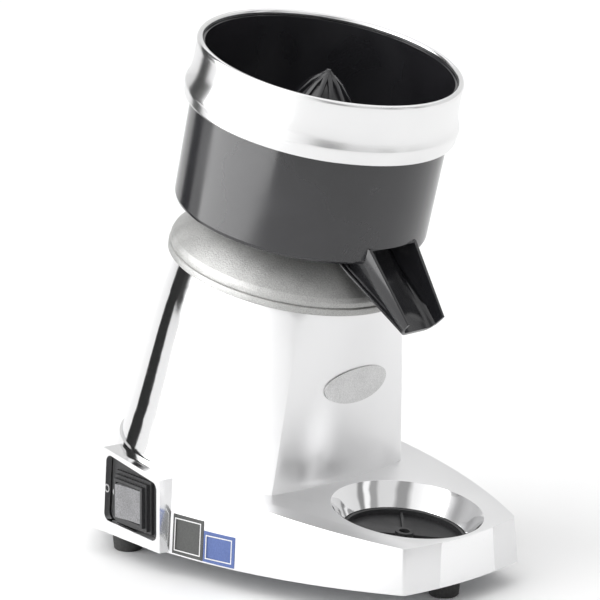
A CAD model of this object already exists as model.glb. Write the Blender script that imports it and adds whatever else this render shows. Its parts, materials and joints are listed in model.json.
import json
import math
import bpy
from mathutils import Matrix, Vector


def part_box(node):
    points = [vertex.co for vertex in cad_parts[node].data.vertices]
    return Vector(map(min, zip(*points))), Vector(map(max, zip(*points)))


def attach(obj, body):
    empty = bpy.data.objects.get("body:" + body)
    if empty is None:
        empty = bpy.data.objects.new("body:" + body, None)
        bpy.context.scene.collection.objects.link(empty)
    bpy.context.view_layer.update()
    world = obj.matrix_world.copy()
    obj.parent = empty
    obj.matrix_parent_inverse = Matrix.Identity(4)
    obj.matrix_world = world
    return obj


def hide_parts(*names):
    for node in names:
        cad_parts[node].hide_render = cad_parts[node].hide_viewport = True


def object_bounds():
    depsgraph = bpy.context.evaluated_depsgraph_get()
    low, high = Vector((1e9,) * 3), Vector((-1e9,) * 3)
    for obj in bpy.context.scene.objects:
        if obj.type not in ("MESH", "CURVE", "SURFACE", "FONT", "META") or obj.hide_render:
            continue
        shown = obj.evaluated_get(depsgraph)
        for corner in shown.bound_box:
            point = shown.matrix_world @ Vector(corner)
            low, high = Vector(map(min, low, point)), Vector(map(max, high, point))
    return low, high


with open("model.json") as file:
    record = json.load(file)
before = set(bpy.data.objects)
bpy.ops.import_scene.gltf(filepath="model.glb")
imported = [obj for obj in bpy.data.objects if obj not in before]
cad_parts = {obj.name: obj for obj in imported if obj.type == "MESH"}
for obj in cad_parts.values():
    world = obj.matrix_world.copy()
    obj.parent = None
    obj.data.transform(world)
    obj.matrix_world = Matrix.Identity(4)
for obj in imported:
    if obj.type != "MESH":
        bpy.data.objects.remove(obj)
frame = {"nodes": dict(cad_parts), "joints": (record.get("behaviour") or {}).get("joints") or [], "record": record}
cadLow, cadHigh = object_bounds()
nodes = frame["nodes"]

# the tower leans forward: its own frame has its foot at the origin and z up the motor's axis
upperBearing = 0.206  # metres up the axis, where the joint of the shaft sits
spin = next(joint for joint in frame["joints"] if joint["name"] == "shaft_spin")
axis = Vector(spin["axis"])
towerTilt = math.atan2(-axis.y, axis.z)
towerFoot = Vector(spin["pos_m"]) - axis * upperBearing
lean = Matrix.Translation(towerFoot) @ Matrix.Rotation(towerTilt, 4, "X")  # tower's frame to the room
upright = lean.inverted()  # and back
print("frame loaded, tower leans", round(math.degrees(towerTilt), 1), "degrees")


def clearPick():
    if bpy.context.object and bpy.context.object.mode != "OBJECT":
        bpy.ops.object.mode_set(mode="OBJECT")
    bpy.ops.object.select_all(action="DESELECT")


def pick(obj):
    clearPick()
    obj.select_set(True)
    bpy.context.view_layer.objects.active = obj


def applyAll(obj):
    pick(obj)
    for modifier in list(obj.modifiers):
        bpy.ops.object.modifier_apply(modifier=modifier.name)


def smooth(obj, degrees):
    pick(obj)
    bpy.ops.object.shade_smooth_by_angle(angle=math.radians(degrees))


def addBevel(obj, width, segments=3, degrees=28):
    bevel = obj.modifiers.new("softEdges", "BEVEL")
    bevel.width = width
    bevel.segments = segments
    bevel.limit_method = "ANGLE"
    bevel.angle_limit = math.radians(degrees)
    bevel.use_clamp_overlap = True
    bevel.harden_normals = False
    return bevel


def place(obj, matrix):
    obj.data.transform(matrix)
    obj.data.update()


def finishPiece(obj, body, material, slotName, *stands):
    obj.data.materials.clear()
    obj.data.materials.append(material)
    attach(obj, body)
    if stands:
        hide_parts(*stands)


# a CAD node's mesh as a new piece, with its corners joined and its flat stretches made one face again
def mergedCopy(nodeName, name, weld=0.00002, flat=0.4):
    clearPick()
    obj = bpy.data.objects.new(name, nodes[nodeName].data.copy())
    bpy.context.scene.collection.objects.link(obj)
    pick(obj)
    bpy.ops.object.mode_set(mode="EDIT")
    bpy.ops.mesh.select_all(action="SELECT")
    bpy.ops.mesh.remove_doubles(threshold=weld)
    bpy.ops.mesh.customdata_custom_splitnormals_clear()
    bpy.ops.mesh.dissolve_limited(angle_limit=math.radians(flat))
    bpy.ops.object.mode_set(mode="OBJECT")
    return obj


# a closed ring turned about z from a profile of (radius, level) in millimetres
def turnPiece(name, profile, steps=144):
    firstRadius, firstLevel = profile[0]
    clearPick()
    bpy.ops.mesh.primitive_circle_add(vertices=steps, radius=firstRadius / 1000, location=(0, 0, 0))
    obj = bpy.context.object
    obj.name = name
    bpy.ops.object.mode_set(mode="EDIT")
    bpy.ops.mesh.select_all(action="SELECT")
    bpy.ops.transform.translate(value=(0, 0, firstLevel / 1000))
    path = profile + [profile[0]]
    for (radius, level), (nextRadius, nextLevel) in zip(path, path[1:]):
        rise = (nextLevel - level) / 1000
        bpy.ops.mesh.extrude_edges_move(TRANSFORM_OT_translate={"value": (0, 0, rise)})
        grow = nextRadius / radius
        bpy.ops.transform.resize(value=(grow, grow, 1), center_override=(0, 0, nextLevel / 1000))
    bpy.ops.mesh.select_all(action="SELECT")
    bpy.ops.mesh.remove_doubles(threshold=0.00001)
    bpy.ops.mesh.select_all(action="SELECT")
    bpy.ops.mesh.normals_make_consistent(inside=False)
    bpy.ops.object.mode_set(mode="OBJECT")
    return obj


turnedSmooth = 40  # degrees


def finishTurned(obj, width, degrees=16, segments=3):
    addBevel(obj, width, segments, degrees)
    applyAll(obj)
    place(obj, lean)
    smooth(obj, turnedSmooth)


# shader groups, each built once and used by several finishes
def newGroup(name, inputs, outputs):
    group = bpy.data.node_groups.new(name, "ShaderNodeTree")
    for label, kind, value in inputs:
        socket = group.interface.new_socket(label, in_out="INPUT", socket_type=kind)
        if value is not None:
            socket.default_value = value
    for label, kind in outputs:
        group.interface.new_socket(label, in_out="OUTPUT", socket_type=kind)
    start = group.nodes.new("NodeGroupInput")
    end = group.nodes.new("NodeGroupOutput")
    return group, start, end


def mathNode(tree, operation, first, second=None):
    node = tree.nodes.new("ShaderNodeMath")
    node.operation = operation
    for index, value in enumerate((first, second)):
        if value is None:
            continue
        if isinstance(value, (int, float)):
            node.inputs[index].default_value = value
        else:
            tree.links.new(value, node.inputs[index])
    return node.outputs[0]


def buildGrainGroup():
    inputs = [
        ("Vector", "NodeSocketVector", None), ("Scale", "NodeSocketFloat", 900.0),
        ("Pits", "NodeSocketFloat", 0.4),
    ]
    outputs = [("Height", "NodeSocketFloat"), ("Mottle", "NodeSocketFloat")]
    group, start, end = newGroup("fineGrain", inputs, outputs)
    fine = group.nodes.new("ShaderNodeTexNoise")
    fine.inputs["Detail"].default_value = 4.0
    fine.inputs["Roughness"].default_value = 0.62
    cells = group.nodes.new("ShaderNodeTexVoronoi")
    wide = group.nodes.new("ShaderNodeTexNoise")
    wide.inputs["Detail"].default_value = 3.0
    scale = start.outputs["Scale"]
    for texture in (fine, cells, wide):
        group.links.new(start.outputs["Vector"], texture.inputs["Vector"])
    group.links.new(scale, fine.inputs["Scale"])
    group.links.new(mathNode(group, "MULTIPLY", scale, 0.55), cells.inputs["Scale"])
    group.links.new(mathNode(group, "MULTIPLY", scale, 0.06), wide.inputs["Scale"])
    pits = mathNode(group, "MULTIPLY", cells.outputs["Distance"], start.outputs["Pits"])
    group.links.new(mathNode(group, "ADD", fine.outputs["Fac"], pits), end.inputs["Height"])
    fineShare = mathNode(group, "MULTIPLY", fine.outputs["Fac"], 0.8)
    wideShare = mathNode(group, "MULTIPLY", wide.outputs["Fac"], 0.2)
    group.links.new(mathNode(group, "ADD", fineShare, wideShare), end.inputs["Mottle"])
    return group


def buildSmudgeGroup():
    inputs = [
        ("Vector", "NodeSocketVector", None), ("Scale", "NodeSocketFloat", 14.0),
        ("Low", "NodeSocketFloat", 0.1), ("High", "NodeSocketFloat", 0.2),
    ]
    outputs = [("Roughness", "NodeSocketFloat"), ("Mask", "NodeSocketFloat")]
    group, start, end = newGroup("handlingSmudges", inputs, outputs)
    noise = group.nodes.new("ShaderNodeTexNoise")
    noise.inputs["Detail"].default_value = 5.0
    noise.inputs["Distortion"].default_value = 0.6
    group.links.new(start.outputs["Vector"], noise.inputs["Vector"])
    group.links.new(start.outputs["Scale"], noise.inputs["Scale"])
    spread = group.nodes.new("ShaderNodeMapRange")
    spread.inputs["From Min"].default_value = 0.35
    spread.inputs["From Max"].default_value = 0.68
    group.links.new(noise.outputs["Fac"], spread.inputs["Value"])
    group.links.new(start.outputs["Low"], spread.inputs["To Min"])
    group.links.new(start.outputs["High"], spread.inputs["To Max"])
    group.links.new(spread.outputs["Result"], end.inputs["Roughness"])
    group.links.new(noise.outputs["Fac"], end.inputs["Mask"])
    return group


def buildLatheGroup():
    inputs = [("Vector", "NodeSocketVector", None), ("Pitch", "NodeSocketFloat", 3000.0)]
    group, start, end = newGroup("latheLines", inputs, [("Height", "NodeSocketFloat")])
    split = group.nodes.new("ShaderNodeSeparateXYZ")
    group.links.new(start.outputs["Vector"], split.inputs[0])
    pitch = start.outputs["Pitch"]
    acrossSquared = mathNode(group, "POWER", split.outputs[0], 2.0)
    depthSquared = mathNode(group, "POWER", split.outputs[1], 2.0)
    radius = mathNode(group, "SQRT", mathNode(group, "ADD", acrossSquared, depthSquared))
    along = group.nodes.new("ShaderNodeCombineXYZ")
    group.links.new(mathNode(group, "MULTIPLY", radius, pitch), along.inputs[0])
    group.links.new(mathNode(group, "MULTIPLY", split.outputs[2], pitch), along.inputs[2])
    noise = group.nodes.new("ShaderNodeTexNoise")
    noise.inputs["Scale"].default_value = 1.0
    noise.inputs["Detail"].default_value = 3.0
    group.links.new(along.outputs[0], noise.inputs["Vector"])
    group.links.new(noise.outputs["Fac"], end.inputs["Height"])
    return group


grainGroup = buildGrainGroup()
smudgeGroup = buildSmudgeGroup()
latheGroup = buildLatheGroup()
print("shader groups made")


def startMaterial(name, color, metallic, roughness):
    material = bpy.data.materials.new(name)
    material.use_nodes = True
    tree = material.node_tree
    shader = tree.nodes["Principled BSDF"]
    shader.inputs["Base Color"].default_value = (*color, 1)
    shader.inputs["Metallic"].default_value = metallic
    shader.inputs["Roughness"].default_value = roughness
    where = tree.nodes.new("ShaderNodeTexCoord")
    return material, tree, shader, where.outputs["Object"]


def useGroup(tree, group, vector, values):
    node = tree.nodes.new("ShaderNodeGroup")
    node.node_tree = group
    tree.links.new(vector, node.inputs["Vector"])
    for label, value in values.items():
        node.inputs[label].default_value = value
    return node


def addBump(tree, shader, height, distance, under=None):
    bump = tree.nodes.new("ShaderNodeBump")
    bump.inputs["Distance"].default_value = distance
    bump.inputs["Strength"].default_value = 1.0
    tree.links.new(height, bump.inputs["Height"])
    if under is not None:
        tree.links.new(under, bump.inputs["Normal"])
    tree.links.new(bump.outputs["Normal"], shader.inputs["Normal"])
    return bump.outputs["Normal"]


def addSmudges(tree, shader, vector, scale, low, high):
    smudge = useGroup(tree, smudgeGroup, vector, {"Scale": scale, "Low": low, "High": high})
    tree.links.new(smudge.outputs["Roughness"], shader.inputs["Roughness"])
    return smudge


def rampColor(tree, shader, mask, dark, light, low=0.3, high=0.7):
    ramp = tree.nodes.new("ShaderNodeValToRGB")
    ramp.color_ramp.elements[0].position = low
    ramp.color_ramp.elements[0].color = (*dark, 1)
    ramp.color_ramp.elements[1].position = high
    ramp.color_ramp.elements[1].color = (*light, 1)
    tree.links.new(mask, ramp.inputs["Fac"])
    tree.links.new(ramp.outputs["Color"], shader.inputs["Base Color"])


# the place on a piece measured in the tower's frame
def axisVector(tree, vector):
    mapping = tree.nodes.new("ShaderNodeMapping")
    mapping.vector_type = "TEXTURE"
    mapping.inputs["Location"].default_value = towerFoot
    mapping.inputs["Rotation"].default_value = (towerTilt, 0, 0)
    tree.links.new(vector, mapping.inputs["Vector"])
    return mapping.outputs["Vector"]


# low and high are the roughness of a finish between smudges and in them, lengths are in metres
polishLook = {"smudges": 9.0, "worn": 0.965, "grainScale": 1100.0, "pits": 0.2}


def polishedAluminium(name, look):
    material, tree, shader, vector = startMaterial(name, look["color"], 1.0, 0.2)
    smudge = addSmudges(tree, shader, vector, polishLook["smudges"], look["low"], look["high"])
    if "rear" in look:
        start, end, share = look["rear"]  # smoother from here to there, down to this share of the roughness
        split = tree.nodes.new("ShaderNodeSeparateXYZ")
        tree.links.new(axisVector(tree, vector), split.inputs[0])
        blend = tree.nodes.new("ShaderNodeMapRange")
        blend.interpolation_type = "SMOOTHSTEP"
        blend.inputs["From Min"].default_value = start
        blend.inputs["From Max"].default_value = end
        blend.inputs["To Min"].default_value = 1.0
        blend.inputs["To Max"].default_value = share
        tree.links.new(split.outputs[1], blend.inputs["Value"])
        rough = mathNode(tree, "MULTIPLY", smudge.outputs["Roughness"], blend.outputs["Result"])
        tree.links.new(rough, shader.inputs["Roughness"])
    worn = tuple(polishLook["worn"] * part for part in look["color"])
    rampColor(tree, shader, smudge.outputs["Mask"], worn, look["color"])
    grain = useGroup(tree, grainGroup, vector, {"Scale": polishLook["grainScale"], "Pits": polishLook["pits"]})
    fine = addBump(tree, shader, grain.outputs["Height"], look["grain"])
    wave = tree.nodes.new("ShaderNodeTexNoise")
    wave.inputs["Scale"].default_value = look["waveScale"]
    wave.inputs["Detail"].default_value = 1.0
    tree.links.new(vector, wave.inputs["Vector"])
    addBump(tree, shader, wave.outputs["Fac"], look["wave"], fine)
    return material


blastedLook = {
    "dark": (0.33, 0.33, 0.325), "darkAt": 0.36, "light": (0.5, 0.5, 0.49), "lightAt": 0.64, "metallic": 0.85,
    "grainScale": 1500.0, "pits": 0.5, "depth": 0.00018, "smudges": 30.0, "low": 0.42, "high": 0.58,
}


def blastedAluminium():
    look = blastedLook
    material, tree, shader, vector = startMaterial("blastedAluminium", look["light"], look["metallic"], 0.5)
    grain = useGroup(tree, grainGroup, vector, {"Scale": look["grainScale"], "Pits": look["pits"]})
    mottle = grain.outputs["Mottle"]
    rampColor(tree, shader, mottle, look["dark"], look["light"], look["darkAt"], look["lightAt"])
    addSmudges(tree, shader, vector, look["smudges"], look["low"], look["high"])
    addBump(tree, shader, grain.outputs["Height"], look["depth"])
    return material


spunLook = {
    "dark": (0.75, 0.75, 0.755), "light": (0.82, 0.82, 0.82), "pitch": 2600.0, "depth": 0.000012,
    "smudges": 12.0, "low": 0.17, "high": 0.26,
}


def spunSteel():
    look = spunLook
    material, tree, shader, vector = startMaterial("spunSteel", look["light"], 1.0, 0.22)
    smudge = addSmudges(tree, shader, vector, look["smudges"], look["low"], look["high"])
    rampColor(tree, shader, smudge.outputs["Mask"], look["dark"], look["light"])
    lines = useGroup(tree, latheGroup, axisVector(tree, vector), {"Pitch": look["pitch"]})
    addBump(tree, shader, lines.outputs["Height"], look["depth"])
    return material


blackLook = {
    "dark": (0.014, 0.014, 0.016), "light": (0.024, 0.024, 0.027), "ior": 1.6,
    "grainScale": 420.0, "pits": 0.1, "depth": 0.00001, "smudges": 16.0, "low": 0.11, "high": 0.22,
}


def glossBlack():
    look = blackLook
    material, tree, shader, vector = startMaterial("glossBlack", look["light"], 0.0, 0.16)
    smudge = addSmudges(tree, shader, vector, look["smudges"], look["low"], look["high"])
    rampColor(tree, shader, smudge.outputs["Mask"], look["dark"], look["light"])
    grain = useGroup(tree, grainGroup, vector, {"Scale": look["grainScale"], "Pits": look["pits"]})
    addBump(tree, shader, grain.outputs["Height"], look["depth"])
    shader.inputs["IOR"].default_value = look["ior"]
    return material


mouldedLook = {"pits": 0.3, "darkAt": 0.38, "lightAt": 0.62, "smudges": 25.0}


def mouldedPlastic(name, dark, light, low, high, grainScale=900.0, depth=0.00005):
    look = mouldedLook
    material, tree, shader, vector = startMaterial(name, light, 0.0, (low + high) / 2)
    grain = useGroup(tree, grainGroup, vector, {"Scale": grainScale, "Pits": look["pits"]})
    rampColor(tree, shader, grain.outputs["Mottle"], dark, light, look["darkAt"], look["lightAt"])
    addSmudges(tree, shader, vector, look["smudges"], low, high)
    addBump(tree, shader, grain.outputs["Height"], depth)
    return material


def plainMetal(name, dark, light, low, high, grainScale=700.0):
    material = mouldedPlastic(name, dark, light, low, high, grainScale, 0.00002)
    material.node_tree.nodes["Principled BSDF"].inputs["Metallic"].default_value = 1.0
    return material


satin = polishedAluminium("satinAluminium", {
    "color": (0.8, 0.8, 0.805), "low": 0.32, "high": 0.42, "grain": 0.000006,
    "wave": 0.00005, "waveScale": 22.0, "rear": (-0.002, 0.012, 0.25),
})
polished = polishedAluminium("polishedAluminium", {
    "color": (0.88, 0.88, 0.885), "low": 0.06, "high": 0.11, "grain": 0.000003,
    "wave": 0.00035, "waveScale": 55.0,
})
blasted = blastedAluminium()
spun = spunSteel()
black = glossBlack()
texturedBlack = mouldedPlastic("texturedBlack", (0.016, 0.016, 0.017), (0.03, 0.03, 0.032), 0.42, 0.6)
greyButton = mouldedPlastic("greyButton", (0.14, 0.14, 0.145), (0.3, 0.3, 0.31), 0.5, 0.66, 1300.0, 0.00018)
rubber = mouldedPlastic("blackRubber", (0.018, 0.018, 0.018), (0.034, 0.033, 0.032), 0.62, 0.82, 600.0)
brushedBadge = plainMetal("brushedBadge", (0.5, 0.5, 0.5), (0.66, 0.66, 0.66), 0.3, 0.42, 1200.0)
zinc = plainMetal("zincPlate", (0.5, 0.51, 0.53), (0.66, 0.67, 0.69), 0.28, 0.44)
greyFoil = mouldedPlastic("greyLabelFoil", (0.042, 0.044, 0.042), (0.058, 0.06, 0.057), 0.34, 0.46)
blueFoil = mouldedPlastic("blueLabelFoil", (0.055, 0.1, 0.29), (0.075, 0.13, 0.36), 0.34, 0.46)
printWhite = mouldedPlastic("printWhite", (0.7, 0.7, 0.7), (0.8, 0.8, 0.8), 0.35, 0.5)
copper = plainMetal("enamelledCopper", (0.42, 0.16, 0.07), (0.62, 0.27, 0.13), 0.25, 0.4)
whiteMoulding = mouldedPlastic("whiteMoulding", (0.72, 0.72, 0.69), (0.82, 0.82, 0.79), 0.4, 0.55)
wireBlue = mouldedPlastic("wireInsulation", (0.03, 0.07, 0.3), (0.05, 0.1, 0.4), 0.35, 0.5)
print("materials made")

cadLooks = {
    "polished_aluminium": satin, "cast_aluminium": blasted, "spun_steel": spun, "black_bowl": black,
    "black_plastic": texturedBlack, "grey_button": greyButton, "rubber": rubber, "steel": zinc,
    "zinc_plate": zinc, "copper": copper, "lamination": zinc, "badge_metal": brushedBadge,
    "grey_label": greyFoil, "blue_label": blueFoil, "can": zinc, "white_plastic": whiteMoulding,
    "wire": wireBlue,
}
slotOf = {row["node"]: row["material_slot"] for row in frame["record"]["subparts"]}
for nodeName, nodeObject in nodes.items():
    for materialSlot in nodeObject.material_slots:
        materialSlot.material = cadLooks[slotOf[nodeName]]
print("finishes given to", len(nodes), "nodes")

# crease and smooth in degrees, standing a share, the rest in metres:
# rear is where soft edges stop, and the mirror finish covers the recess's standing wall and the switch box
housingSizes = {
    "edge": 0.0015, "crease": 27, "rear": 0.012, "smooth": 28,
    "recess": 0.058, "standing": 0.3, "boxSide": -0.087, "boxFront": 0.022,
}


# weights the sharp edges in front of the rear limit, so that only they are rounded
def markCreases(obj, degrees, rearLimit):
    mesh = obj.data
    sides = {}
    for face in mesh.polygons:
        for key in face.edge_keys:
            sides.setdefault(key, []).append(face.normal)
    weights = mesh.attributes.new("bevel_weight_edge", "FLOAT", "EDGE")
    for edge in mesh.edges:
        faces = sides[edge.key]
        if len(faces) != 2 or faces[0].angle(faces[1], 0) < math.radians(degrees):
            continue
        one, two = (mesh.vertices[index].co for index in edge.vertices)
        spot = upright @ ((one + two) / 2)
        if spot.y < rearLimit:
            weights.data[edge.index].value = 1.0


def buildHousing():
    size = housingSizes
    casting = mergedCopy("body_casting", "polishedHousing")
    markCreases(casting, size["crease"], size["rear"])
    bevel = addBevel(casting, size["edge"])
    bevel.limit_method = "WEIGHT"
    applyAll(casting)
    smooth(casting, size["smooth"])
    finishPiece(casting, "housing", satin, "polished_aluminium", "body_casting")
    casting.data.materials.append(polished)
    low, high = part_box("recess_insert")
    recessMiddle = (low + high) / 2
    for face in casting.data.polygons:
        spot = face.center
        standing = math.hypot(face.normal.x, face.normal.y) > size["standing"]
        inRecess = standing and (spot - recessMiddle).length < size["recess"]
        onBox = spot.x < size["boxSide"] and spot.y > size["boxFront"]
        if inRecess or onBox:
            face.material_index = 1


buildHousing()
print("housing made")

# radii and levels up the tower's axis, millimetres
capSizes = {
    "rim": 80.0, "low": 196.0, "lip": 4.5, "shoulder": 204.5, "top": 229.0, "plateau": 56.0, "bore": 11.2,
    "collar": 21.0, "collarHeight": 2, "spigot": 68.0, "spigotInside": 63.0, "spigotDepth": 6.5,
    "hollow": 62.0, "hollowLow": 206.0, "hollowTop": 224.0, "hollowTopRadius": 50.0,
}


def buildCap():
    size = capSizes
    rim, low, top = size["rim"], size["low"], size["top"]
    lipTop = low + size["lip"]
    collarTop = top + size["collarHeight"]
    spigotLow = low - size["spigotDepth"]
    cap = turnPiece("blastedCap", [
        (size["bore"], collarTop), (size["collar"], collarTop), (size["collar"] + 0.4, top),
        (size["plateau"], top), (rim - 2, size["shoulder"] + 3), (rim - 0.7, size["shoulder"]),
        (rim - 0.7, lipTop + 0.9), (rim - 1.5, lipTop + 0.5), (rim - 0.1, lipTop),
        (rim, low + 0.4), (rim - 0.5, low),
        (size["spigot"], low), (size["spigot"], spigotLow), (size["spigotInside"], spigotLow),
        (size["hollow"], size["hollowLow"]), (size["hollowTopRadius"], size["hollowTop"]),
        (size["bore"], size["hollowTop"]),
    ])
    finishTurned(cap, 0.0005)
    finishPiece(cap, "housing", blasted, "cast_aluminium", "top_cap")


buildCap()
print("cap made")

# radii and levels up the tower's axis, millimetres
ringSizes = {
    "low": 301.0, "top": 340.0, "skirt": 87.6, "waist": 85.4, "rim": 81.8, "inside": 83.75, "seat": 336.9,
    "steps": 192,
}


def buildSplashRing():
    size = ringSizes
    low, top, skirt, waist = size["low"], size["top"], size["skirt"], size["waist"]
    rim, inside, seat = size["rim"], size["inside"], size["seat"]
    ring = turnPiece("splashRing", [
        (skirt - 1.2, low), (skirt - 0.2, low + 0.3), (skirt + 0.1, low + 1.5),
        (skirt + 0.2, low + 4), (skirt + 0.75, low + 6.4), (skirt + 0.85, low + 8),
        (skirt + 0.3, low + 10), (skirt - 0.8, low + 12.6), (waist + 0.7, low + 16.5),
        (waist + 0.1, low + 21), (waist, low + 27), (waist + 0.1, top - 5),
        (waist + 0.35, top - 2.6), (waist - 0.2, top - 0.9), (waist - 1.4, top),
        (rim + 0.8, top - 0.2), (rim, top - 1.4), (rim, seat), (inside, seat),
        (inside, low + 26), (inside + 0.6, low + 17), (skirt - 1.5, low + 9.5),
    ], size["steps"])
    finishTurned(ring, 0.0004, degrees=30, segments=2)
    finishPiece(ring, "splash_ring", spun, "spun_steel", "splash_ring")


buildSplashRing()
print("splash ring made")

# metres in the tower's frame: the spout narrows by taper from the wall to the tip,
# and below rootTop its root widens by flare from the wall back to root
bowlSizes = {
    "wallInner": 0.078, "wall": 0.0835, "tip": 0.117, "taper": 0.2, "mouth": 0.2435,
    "root": 0.07, "rootFrom": 0.03, "rootTop": 0.2315, "flare": 0.42, "edge": 0.0005,
    "flat": 1.6, "smooth": 30, "level": 0.1, "facing": 0.985,
}


# turns the shading of the round wall to face the axis exactly, so that reflections run clean across its faces
def roundWall(obj, size):
    mesh = obj.data
    turnBack = upright.to_3x3()
    turnOut = lean.to_3x3()
    normals = [Vector(corner.vector) for corner in mesh.corner_normals]
    for face in mesh.polygons:
        spot = upright @ face.center
        normal = turnBack @ face.normal
        radial = Vector((spot.x, spot.y, 0))
        facing = abs(normal.dot(radial.normalized()))
        if radial.length < size["wallInner"] or abs(normal.z) > size["level"] or facing < size["facing"]:
            continue
        side = 1 if normal.dot(radial) > 0 else -1
        for index in face.loop_indices:
            corner = upright @ mesh.vertices[mesh.loops[index].vertex_index].co
            normals[index] = turnOut @ (Vector((corner.x, corner.y, 0)).normalized() * side)
    mesh.normals_split_custom_set(normals)


def buildBowl():
    size = bowlSizes
    bowl = mergedCopy("bowl", "blackBowl", flat=size["flat"])
    for corner in bowl.data.vertices:
        spot = upright @ corner.co
        front = -spot.y
        if spot.z < size["mouth"] and front > size["wall"]:
            spot.x *= 1 - size["taper"] * (front - size["wall"]) / (size["tip"] - size["wall"])
            corner.co = lean @ spot
        elif spot.z < size["rootTop"] and front > size["rootFrom"]:
            spot.x *= 1 + size["flare"] * min(1, (size["wall"] - front) / (size["wall"] - size["root"]))
            corner.co = lean @ spot
    addBevel(bowl, size["edge"], 2, size["smooth"])
    applyAll(bowl)
    smooth(bowl, size["smooth"])
    roundWall(bowl, size)
    finishPiece(bowl, "bowl", black, "black_bowl", "bowl")


buildBowl()
print("bowl made")

# metres up the tower's axis: the reamer grows by wider between from and to
reamerSizes = {"from": 0.284, "to": 0.318, "wider": 0.16, "edge": 0.0006, "smooth": 30}


def buildReamer():
    size = reamerSizes
    reamer = mergedCopy("reamer_cone", "ribbedReamer")
    for corner in reamer.data.vertices:
        spot = upright @ corner.co
        part = min(1, max(0, (spot.z - size["from"]) / (size["to"] - size["from"])))
        spot.x *= 1 + size["wider"] * part
        spot.y *= 1 + size["wider"] * part
        corner.co = lean @ spot
    addBevel(reamer, size["edge"], 2, size["smooth"])
    applyAll(reamer)
    smooth(reamer, size["smooth"])
    finishPiece(reamer, "reamer", black, "black_bowl", "reamer_cone")


buildReamer()
print("reamer made")

# swing and smooth in degrees, the mark's place in metres from the button's hinge, its ring in millimetres
markSizes = {
    "swing": 9.0, "out": 0.0025, "along": 0.0236, "up": 0.001,
    "outer": 2.7, "inner": 1.9, "face": 0.2, "back": -0.1, "steps": 48, "smooth": 30,
}


def buildOffMark():
    size = markSizes
    tilt = next(joint for joint in frame["joints"] if joint["name"] == "rocker_tilt")
    swing = math.radians(size["swing"])
    along = Vector((math.sin(swing), math.cos(swing), 0))
    out = Vector((-math.cos(swing), math.sin(swing), 0))
    outer, inner, face, back = size["outer"], size["inner"], size["face"], size["back"]
    mark = turnPiece("offMark", [(outer, face), (inner, face), (inner, back), (outer, back)], size["steps"])
    spot = Vector(tilt["pos_m"]) + out * size["out"] + along * size["along"]
    spot.z += size["up"]
    rows = Matrix((-along, Vector((0, 0, 1)), out)).transposed().to_4x4()
    place(mark, Matrix.Translation(spot) @ rows)
    smooth(mark, size["smooth"])
    finishPiece(mark, "housing", printWhite, "black_plastic")


# metres: border is the plain margin outside the line, sunk how far the line starts under the label's face
labelSizes = {"border": 0.0022, "line": 0.0007, "height": 0.0002, "sunk": 0.00008}


# the middle of a label's outer face, with x along it, y up it and z out of it
def labelPlace(nodeName):
    mesh = nodes[nodeName].data
    low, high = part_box(nodeName)
    middle = (low + high) / 2
    outer = max(mesh.polygons, key=lambda face: face.area * (face.normal.x < -0.5))
    out = Vector(outer.normal)
    out.normalize()
    up = (Vector((0, 0, 1)) - out * out.z).normalized()
    along = up.cross(out).normalized()
    lift = max((corner.co - middle).dot(out) for corner in mesh.vertices)
    rows = Matrix((along, up, out)).transposed().to_4x4()
    return Matrix.Translation(middle + out * (lift - labelSizes["sunk"])) @ rows


def buildBorder(nodeName, name, slotName):
    size = labelSizes
    low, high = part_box(nodeName)
    width, height = high.y - low.y - 2 * size["border"], high.z - low.z - 2 * size["border"]
    clearPick()
    bpy.ops.mesh.primitive_plane_add(size=1, location=(0, 0, 0))
    obj = bpy.context.object
    obj.name = name
    bpy.ops.object.mode_set(mode="EDIT")
    bpy.ops.mesh.select_all(action="SELECT")
    bpy.ops.transform.resize(value=(width, height, 1))
    bpy.ops.mesh.inset(thickness=size["line"], depth=0)
    bpy.ops.mesh.delete(type="FACE")
    bpy.ops.mesh.select_all(action="SELECT")
    bpy.ops.mesh.extrude_region_move(TRANSFORM_OT_translate={"value": (0, 0, size["height"])})
    bpy.ops.mesh.select_all(action="SELECT")
    bpy.ops.mesh.normals_make_consistent(inside=False)
    bpy.ops.object.mode_set(mode="OBJECT")
    place(obj, labelPlace(nodeName))
    finishPiece(obj, "housing", printWhite, slotName)


buildOffMark()
buildBorder("rating_label", "ratingBorder", "grey_label")
buildBorder("approval_label", "approvalBorder", "blue_label")
print("off mark and label borders made")

# roll in degrees, lens in millimetres on a 36 mm sensor
cameraSizes = {
    "spot": Vector((-1.70955, -1.63253, 0.7024)), "back": Vector((-0.7065, -0.6728, 0.2195)),
    "roll": 0.47, "lens": 225.8, "sensor": 36,
}


def placeCamera():
    size = cameraSizes
    camera = bpy.data.objects.new("camera", bpy.data.cameras.new("camera"))
    bpy.context.scene.collection.objects.link(camera)
    camera.location = size["spot"]
    roll = Matrix.Rotation(math.radians(size["roll"]), 4, "Z").to_quaternion()
    camera.rotation_mode = "QUATERNION"
    camera.rotation_quaternion = (-size["back"]).to_track_quat("-Z", "Y") @ roll
    camera.data.lens = size["lens"]
    camera.data.sensor_width = size["sensor"]
    bpy.context.scene.camera = camera


placeCamera()
print("camera placed")

floorLook = {"side": 24, "color": (0.93, 0.93, 0.93), "roughness": 0.7}


def buildFloor():
    clearPick()
    bpy.ops.mesh.primitive_plane_add(size=floorLook["side"])
    floor = bpy.context.object
    floor.name = "floor"
    paleFloor = startMaterial("paleFloor", floorLook["color"], 0.0, floorLook["roughness"])[0]
    floor.data.materials.append(paleFloor)


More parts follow.
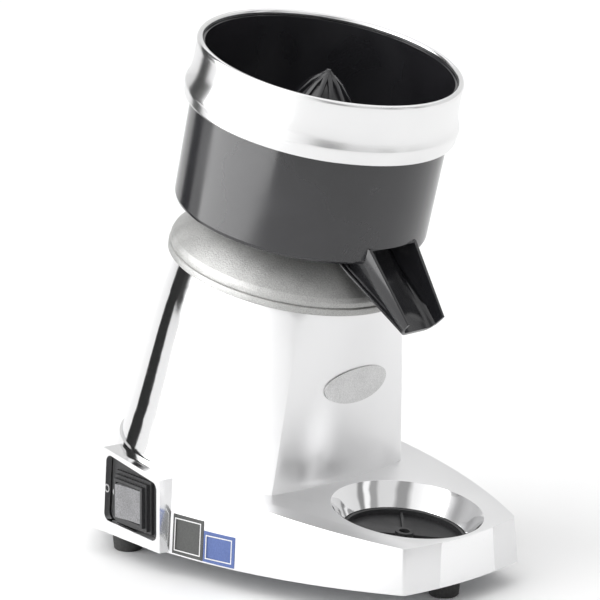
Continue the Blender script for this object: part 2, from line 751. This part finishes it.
# grey level of the studio's walls by compass angle: 0 is behind the machine, -90 its left, 90 its right
studioWalls = (
    (-180, 0.78), (-160, 0.8), (-152, 0.36), (-138, 0.36), (-128, 1.0), (-112, 1.15),
    (-100, 1.4), (-72, 2.2), (-36, 2.2), (-26, 1.6), (-22, 0.04), (-6, 0.04),
    (-2, 0.85), (60, 0.85), (110, 0.85), (136, 0.8), (140, 0.3), (147, 0.3),
    (150, 1.1), (157, 1.1), (160, 0.4), (170, 0.4), (175, 0.78), (180, 0.78),
)


def buildStudioWalls():
    world = bpy.data.worlds.new("studio")
    bpy.context.scene.world = world
    world.use_nodes = True
    tree = world.node_tree
    walls = tree.nodes["Background"]
    where = tree.nodes.new("ShaderNodeTexCoord")
    split = tree.nodes.new("ShaderNodeSeparateXYZ")
    tree.links.new(where.outputs["Generated"], split.inputs[0])
    compass = mathNode(tree, "ARCTAN2", split.outputs[0], split.outputs[1])
    share = mathNode(tree, "MULTIPLY_ADD", compass, 1 / (2 * math.pi))  # of the whole turn, from the front
    share.node.inputs[2].default_value = 0.5
    ramp = tree.nodes.new("ShaderNodeValToRGB")
    ramp.color_ramp.interpolation = "LINEAR"
    tree.links.new(share, ramp.inputs["Fac"])
    stops = ramp.color_ramp.elements
    while len(stops) < len(studioWalls):
        stops.new(0.5)
    for stop, (degrees, _) in zip(stops, studioWalls):  # all places first, because they sort the stops
        stop.position = degrees / 360 + 0.5
    for stop, (_, grey) in zip(stops, studioWalls):
        stop.color = (grey, grey, grey, 1)
    tree.links.new(ramp.outputs["Color"], walls.inputs["Color"])
    walls.inputs["Strength"].default_value = 1.0


softBoxSizes = {"spot": (0.2, 0.2, 3.4), "side": 6.0, "power": 46}


def addOverheadSoftBox():
    size = softBoxSizes
    light = bpy.data.objects.new("overheadSoftBox", bpy.data.lights.new("overheadSoftBox", "AREA"))
    bpy.context.scene.collection.objects.link(light)
    light.data.shape = "RECTANGLE"
    light.data.size = size["side"]
    light.data.size_y = size["side"]
    light.data.energy = size["power"]
    light.location = size["spot"]
    light.rotation_mode = "QUATERNION"
    aim = (cadLow + cadHigh) / 2 - Vector(size["spot"])
    light.rotation_quaternion = aim.to_track_quat("-Z", "Y")


# cards that stand on the floor and show only in the machine's reflections
cardSizes = {
    "darkFlag": {"compass": -13, "distance": 0.42, "wide": 0.13, "tall": 0.9, "grey": 0.01, "glow": 0.0},
    "brightCard": {"compass": -66, "distance": 0.62, "wide": 0.8, "tall": 0.9, "grey": 0.8, "glow": 3.4},
}
cardLift = 0.004  # gap under a card


def buildReflectionCard(name, size):
    clearPick()
    bpy.ops.mesh.primitive_plane_add(size=1)
    card = bpy.context.object
    card.name = name
    turn = math.radians(size["compass"])
    reach, tall, grey = size["distance"], size["tall"], size["grey"]
    spot = Vector((towerFoot.x + reach * math.sin(turn), reach * math.cos(turn), tall / 2 + cardLift))
    stood = Matrix.Rotation(math.radians(90), 4, "X") @ Matrix.Diagonal((size["wide"], tall, 1, 1))
    card.data.transform(Matrix.Translation(spot) @ Matrix.Rotation(-turn, 4, "Z") @ stood)
    material, _, shader, _ = startMaterial(name, (grey, grey, grey), 0.0, 0.8)
    shader.inputs["Emission Color"].default_value = (1, 1, 1, 1)
    shader.inputs["Emission Strength"].default_value = size["glow"]
    card.data.materials.append(material)
    card.visible_camera = False
    card.visible_diffuse = False
    card.visible_shadow = False


buildFloor()
buildStudioWalls()
addOverheadSoftBox()
for cardName, cardSize in cardSizes.items():
    buildReflectionCard(cardName, cardSize)
bpy.context.scene.view_settings.view_transform = "Standard"
print("floor and studio light made")
